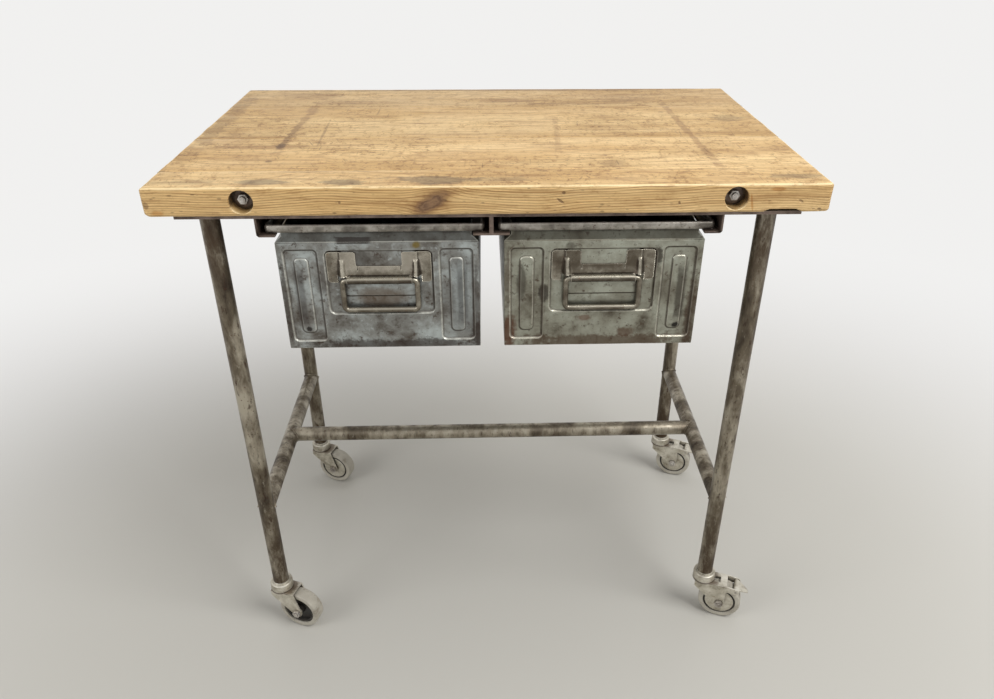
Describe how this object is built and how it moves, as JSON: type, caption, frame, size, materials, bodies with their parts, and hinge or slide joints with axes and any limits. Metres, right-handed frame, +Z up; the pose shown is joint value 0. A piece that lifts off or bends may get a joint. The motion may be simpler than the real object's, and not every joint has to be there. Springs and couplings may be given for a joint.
{
  "type": "industrial work table",
  "caption": "Mobile work table: a plank worktop on a welded tube frame, with hanging sheet-steel drawers on rails, bail handles and swivel casters with brakes.",
  "frame": {"origin": "on the floor under the centre of the worktop; the casters trail to the right, so their pedals reach a little past the worktop there", "axes": "+X to the right as seen from the drawers' side, +Y to the back, +Z up"},
  "size_m": [0.9151, 0.57, 0.84],
  "materials": {
    "pine": "worn and stained",
    "hardware_zinc": "dull zinc plating",
    "frame_steel": "bare steel with a dark patina and rust specks",
    "rail_steel": "dark mill scale",
    "drawer_steel": "bare sheet steel with worn bright ridges and brown edges",
    "rim_steel": "dark sheet steel with a worn top edge",
    "handle_steel": "burnished by use",
    "caster_zinc": "zinc plating, bright at the edges",
    "axle_steel": "plain bright steel",
    "hub_plastic": "dark grey",
    "tyre_rubber": "light grey, scuffed"
  },
  "bodies": {
    "table": {"top_board_front": "pine", "top_board_second": "pine", "top_board_third": "pine", "top_board_rear": "pine", "tie_rods": "hardware_zinc", "tie_rod_washers": "hardware_zinc", "tie_rod_nuts": "hardware_zinc", "frame_screws": "hardware_zinc", "frame_bar_front": "frame_steel", "frame_bar_rear": "frame_steel", "frame_bar_left": "frame_steel", "frame_bar_right": "frame_steel", "leg_front_left": "frame_steel", "leg_front_right": "frame_steel", "leg_rear_left": "frame_steel", "leg_rear_right": "frame_steel", "stretcher_left": "frame_steel", "rail_left": "rail_steel", "stretcher_right": "frame_steel", "rail_right": "rail_steel", "stretcher_centre": "frame_steel", "rail_centre": "rail_steel", "caster_fl_head": "caster_zinc", "caster_fr_head": "caster_zinc", "caster_rl_head": "caster_zinc", "caster_rr_head": "caster_zinc", "swivel_balls": "axle_steel"},
    "drawer_left": {"drawer_left_tub": "drawer_steel", "drawer_left_front": "drawer_steel", "drawer_left_rim": "rim_steel", "drawer_left_bracket": "handle_steel"},
    "bail_left": {"drawer_left_bail": "handle_steel"},
    "drawer_right": {"drawer_right_tub": "drawer_steel", "drawer_right_front": "drawer_steel", "drawer_right_rim": "rim_steel", "drawer_right_bracket": "handle_steel"},
    "bail_right": {"drawer_right_bail": "handle_steel"},
    "fork_fl": {"caster_fl_fork": "caster_zinc", "caster_fl_axle": "axle_steel", "caster_fl_guards": "caster_zinc"},
    "wheel_fl": {"caster_fl_hub": "hub_plastic", "caster_fl_tyre": "tyre_rubber"},
    "fork_fr": {"caster_fr_fork": "caster_zinc", "caster_fr_axle": "axle_steel", "caster_fr_guards": "caster_zinc"},
    "wheel_fr": {"caster_fr_hub": "hub_plastic", "caster_fr_tyre": "tyre_rubber"},
    "fork_rl": {"caster_rl_fork": "caster_zinc", "caster_rl_axle": "axle_steel", "caster_rl_guards": "caster_zinc"},
    "wheel_rl": {"caster_rl_hub": "hub_plastic", "caster_rl_tyre": "tyre_rubber"},
    "fork_rr": {"caster_rr_fork": "caster_zinc", "caster_rr_axle": "axle_steel", "caster_rr_guards": "caster_zinc"},
    "wheel_rr": {"caster_rr_hub": "hub_plastic", "caster_rr_tyre": "tyre_rubber"},
    "pedal_fr": {"caster_fr_pedal": "caster_zinc"},
    "pedal_rr": {"caster_rr_pedal": "caster_zinc"}
  },
  "joints": [
    {"name": "drawer_left_slide", "type": "slide", "parent": "table", "child": "drawer_left", "axis": [0, -1, 0], "range_m": [0, 0.4]},
    {"name": "bail_left_swing", "type": "hinge", "parent": "drawer_left", "child": "bail_left", "pos_m": [-0.1575, -0.2647, 0.6973], "axis": [-1, 0, 0], "range_deg": [0, 95]},
    {"name": "drawer_right_slide", "type": "slide", "parent": "table", "child": "drawer_right", "axis": [0, -1, 0], "range_m": [0, 0.4]},
    {"name": "bail_right_swing", "type": "hinge", "parent": "drawer_right", "child": "bail_right", "pos_m": [0.1575, -0.2647, 0.6973], "axis": [-1, 0, 0], "range_deg": [0, 95]},
    {"name": "caster_fl_swivel", "type": "hinge", "parent": "table", "child": "fork_fl", "pos_m": [-0.385, -0.241, 0.08], "axis": [0, 0, 1], "continuous": true},
    {"name": "caster_fl_roll", "type": "hinge", "parent": "fork_fl", "child": "wheel_fl", "pos_m": [-0.35305, -0.25263, 0.0375], "axis": [0.342, 0.9397, 0], "continuous": true},
    {"name": "caster_fr_swivel", "type": "hinge", "parent": "table", "child": "fork_fr", "pos_m": [0.385, -0.241, 0.08], "axis": [0, 0, 1], "continuous": true},
    {"name": "caster_fr_roll", "type": "hinge", "parent": "fork_fr", "child": "wheel_fr", "pos_m": [0.41695, -0.25263, 0.0375], "axis": [0.342, 0.9397, 0], "continuous": true},
    {"name": "caster_rl_swivel", "type": "hinge", "parent": "table", "child": "fork_rl", "pos_m": [-0.385, 0.171, 0.08], "axis": [0, 0, 1], "continuous": true},
    {"name": "caster_rl_roll", "type": "hinge", "parent": "fork_rl", "child": "wheel_rl", "pos_m": [-0.35305, 0.15937, 0.0375], "axis": [0.342, 0.9397, 0], "continuous": true},
    {"name": "caster_rr_swivel", "type": "hinge", "parent": "table", "child": "fork_rr", "pos_m": [0.385, 0.171, 0.08], "axis": [0, 0, 1], "continuous": true},
    {"name": "caster_rr_roll", "type": "hinge", "parent": "fork_rr", "child": "wheel_rr", "pos_m": [0.41695, 0.15937, 0.0375], "axis": [0.342, 0.9397, 0], "continuous": true},
    {"name": "caster_fr_brake", "type": "hinge", "parent": "fork_fr", "child": "pedal_fr", "pos_m": [0.44138, -0.26152, 0.072], "axis": [0.342, 0.9397, 0], "range_deg": [0, 25]},
    {"name": "caster_rr_brake", "type": "hinge", "parent": "fork_rr", "child": "pedal_rr", "pos_m": [0.44138, 0.15048, 0.072], "axis": [0.342, 0.9397, 0], "range_deg": [0, 25]}
  ]
}
